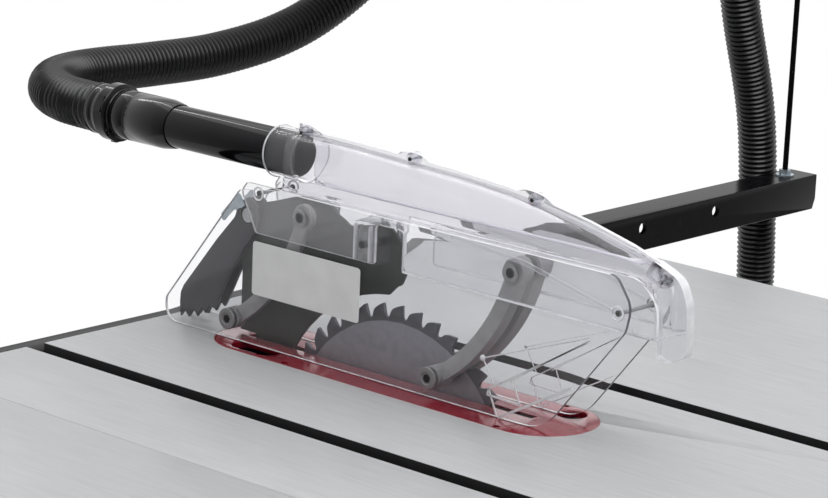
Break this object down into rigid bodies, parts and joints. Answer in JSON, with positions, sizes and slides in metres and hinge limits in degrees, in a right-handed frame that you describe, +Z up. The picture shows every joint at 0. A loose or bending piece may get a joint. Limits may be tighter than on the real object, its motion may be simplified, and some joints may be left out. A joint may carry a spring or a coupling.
{
  "type": "cabinet table saw",
  "caption": "Cabinet table saw with cast iron table and wings, red throat insert, spreader with clear overhead blade guard, dust hose and rear rail.",
  "frame": {"origin": "on the floor under the middle of the cabinet", "axes": "+Z up, +X to the operator's right, +Y from the operator towards the rear of the table"},
  "size_m": [1.5003, 1.0145, 1.345],
  "materials": {
    "cast_iron": "ground satin",
    "pale_paint": "satin paint",
    "black_paint": "satin paint",
    "dark_paint": "satin paint",
    "zinc_steel": "zinc plated",
    "bright_steel": "machined",
    "blade_steel": "ground",
    "black_steel": "blacked",
    "trunnion_iron": "as cast",
    "red_paint": "powder coat",
    "grey_plastic": "matt",
    "black_plastic": "gloss",
    "matt_black_plastic": "matt",
    "red_plastic": "gloss",
    "green_plastic": "gloss",
    "clear_plastic": "clear",
    "hose_rubber": "corrugated",
    "belt_rubber": "ribbed"
  },
  "bodies": {
    "cabinet": {"plinth": "dark_paint", "cabinet_shell": "pale_paint", "dust_port": "matt_black_plastic", "main_table": "cast_iron", "left_wing": "cast_iron", "right_wing": "cast_iron", "frame_bolts": "zinc_steel", "table_insert": "red_paint", "insert_screws": "black_steel", "rear_rail": "black_paint", "front_rail": "black_paint", "fence_tube": "pale_paint", "tube_caps": "matt_black_plastic", "support_rod": "black_paint", "hose_hook": "matt_black_plastic", "hose": "hose_rubber", "hose_port": "matt_black_plastic", "hose_end_cuff": "matt_black_plastic", "door_hinges": "zinc_steel", "switch_box": "matt_black_plastic", "cable_gland": "matt_black_plastic", "front_trunnion": "trunnion_iron", "rear_trunnion": "trunnion_iron"},
    "motor_door": {"motor_door": "pale_paint"},
    "start_button": {"start_button": "green_plastic"},
    "stop_paddle": {"stop_paddle": "red_plastic"},
    "tilt_wheel": {"tilt_wheel": "dark_paint", "tilt_shaft": "bright_steel"},
    "tilt_knob": {"tilt_knob": "matt_black_plastic"},
    "cradle": {"cradle_frame": "trunnion_iron", "riving_knife": "black_steel", "knife_clamp": "bright_steel", "hood_left": "clear_plastic", "hood_right": "clear_plastic", "guard_pins": "black_steel", "guard_latch": "clear_plastic", "pawl_pin": "bright_steel", "pawl_spring": "zinc_steel", "dust_tube": "black_plastic", "tube_cuff": "matt_black_plastic", "hose_cuff": "matt_black_plastic"},
    "raise_wheel": {"raise_wheel": "dark_paint", "raise_shaft": "bright_steel"},
    "raise_knob": {"raise_knob": "matt_black_plastic"},
    "raise_screw": {"raise_screw": "bright_steel"},
    "carriage": {"arbor_bracket": "trunnion_iron", "motor": "dark_paint", "drive_belt": "belt_rubber"},
    "arbor": {"arbor_shaft": "bright_steel", "blade": "blade_steel", "arbor_nut": "bright_steel"},
    "rotor": {"motor_pulley": "bright_steel"},
    "left_front_arm": {"left_front_arm": "grey_plastic"},
    "left_rear_arm": {"left_rear_arm": "grey_plastic"},
    "left_shield": {"left_shield": "clear_plastic"},
    "left_pawl": {"left_pawl": "black_steel"},
    "right_front_arm": {"right_front_arm": "grey_plastic"},
    "right_rear_arm": {"right_rear_arm": "grey_plastic"},
    "right_shield": {"right_shield": "clear_plastic"},
    "right_pawl": {"right_pawl": "black_steel"}
  },
  "joints": [
    {"name": "door_swing", "type": "hinge", "parent": "cabinet", "child": "motor_door", "pos_m": [-0.259, 0.214, 0.405], "axis": [0, 0, -1], "range_deg": [0, 110]},
    {"name": "start_press", "type": "slide", "parent": "cabinet", "child": "start_button", "axis": [0, 1, 0], "range_m": [0, 0.004], "stiffness_N_per_m": 400, "springref_m": -0.003},
    {"name": "stop_press", "type": "hinge", "parent": "cabinet", "child": "stop_paddle", "pos_m": [-0.195, -0.35, 0.772], "axis": [1, 0, 0], "range_deg": [0, 3], "stiffness_Nm_per_rad": 0.8, "springref_deg": -5.73},
    {"name": "tilt_turn", "type": "hinge", "parent": "cabinet", "child": "tilt_wheel", "pos_m": [0.15, -0.12, 0.6365], "axis": [-1, 0, 0], "range_deg": [0, 1800]},
    {"name": "tilt_knob_spin", "type": "hinge", "parent": "tilt_wheel", "child": "tilt_knob", "pos_m": [0.335, -0.12, 0.5625], "axis": [1, 0, 0], "continuous": true},
    {"name": "blade_tilt", "type": "hinge", "parent": "cabinet", "child": "cradle", "pos_m": [0.024, 0, 0.864], "axis": [0, -1, 0], "range_deg": [0, 45.5]},
    {"name": "raise_turn", "type": "hinge", "parent": "cradle", "child": "raise_wheel", "pos_m": [-0.028, -0.2, 0.544], "axis": [0, 1, 0], "range_deg": [-2790, 270]},
    {"name": "raise_knob_spin", "type": "hinge", "parent": "raise_wheel", "child": "raise_knob", "pos_m": [0.046, -0.35, 0.544], "axis": [0, -1, 0], "continuous": true},
    {"name": "raise_screw_turn", "type": "hinge", "parent": "cradle", "child": "raise_screw", "pos_m": [-0.028, -0.036, 0.7], "axis": [0, 0, 1], "range_deg": [-2800, 280]},
    {"name": "blade_raise", "type": "slide", "parent": "cradle", "child": "carriage", "axis": [0, 0, 1], "range_m": [-0.0622, 0.0062]},
    {"name": "arbor_spin", "type": "hinge", "parent": "carriage", "child": "arbor", "pos_m": [0.024, 0.067, 0.796], "axis": [1, 0, 0], "continuous": true},
    {"name": "motor_spin", "type": "hinge", "parent": "carriage", "child": "rotor", "pos_m": [-0.06, 0.067, 0.631], "axis": [1, 0, 0], "continuous": true},
    {"name": "left_front_swing", "type": "hinge", "parent": "cradle", "child": "left_front_arm", "pos_m": [0.01, -0.0588, 0.9784], "axis": [1, 0, 0], "range_deg": [0, 30]},
    {"name": "left_rear_swing", "type": "hinge", "parent": "cradle", "child": "left_rear_arm", "pos_m": [0.01, 0.1636, 0.9795], "axis": [1, 0, 0], "range_deg": [0, 30]},
    {"name": "left_shield_level", "type": "hinge", "parent": "left_front_arm", "child": "left_shield", "pos_m": [0.001, 0.0154, 0.8796], "axis": [1, 0, 0], "range_deg": [-30, 0]},
    {"name": "left_pawl_swing", "type": "hinge", "parent": "cradle", "child": "left_pawl", "pos_m": [0.0175, 0.233, 0.967], "axis": [1, 0, 0], "range_deg": [0, 25]},
    {"name": "right_front_swing", "type": "hinge", "parent": "cradle", "child": "right_front_arm", "pos_m": [0.038, -0.0588, 0.9784], "axis": [1, 0, 0], "range_deg": [0, 30]},
    {"name": "right_rear_swing", "type": "hinge", "parent": "cradle", "child": "right_rear_arm", "pos_m": [0.038, 0.1636, 0.9795], "axis": [1, 0, 0], "range_deg": [0, 30]},
    {"name": "right_shield_level", "type": "hinge", "parent": "right_front_arm", "child": "right_shield", "pos_m": [0.047, 0.0154, 0.8796], "axis": [1, 0, 0], "range_deg": [-30, 0]},
    {"name": "right_pawl_swing", "type": "hinge", "parent": "cradle", "child": "right_pawl", "pos_m": [0.0305, 0.233, 0.967], "axis": [1, 0, 0], "range_deg": [0, 25]}
  ],
  "couplings": [
    {"joint": "blade_tilt", "follows": "tilt_turn", "ratio": 0.025},
    {"joint": "left_front_swing", "follows": "tilt_turn", "ratio": 0.0096},
    {"joint": "left_rear_swing", "follows": "tilt_turn", "ratio": 0.0096},
    {"joint": "left_shield_level", "follows": "tilt_turn", "ratio": -0.0096},
    {"joint": "left_pawl_swing", "follows": "tilt_turn", "ratio": 0.005},
    {"joint": "raise_screw_turn", "follows": "raise_turn", "ratio": 1},
    {"joint": "blade_raise", "follows": "raise_turn", "m_per_rad": 0.0012732},
    {"joint": "motor_spin", "follows": "arbor_spin", "ratio": 0.8},
    {"joint": "right_rear_swing", "follows": "right_front_swing", "ratio": 1},
    {"joint": "right_shield_level", "follows": "right_front_swing", "ratio": -1}
  ]
}
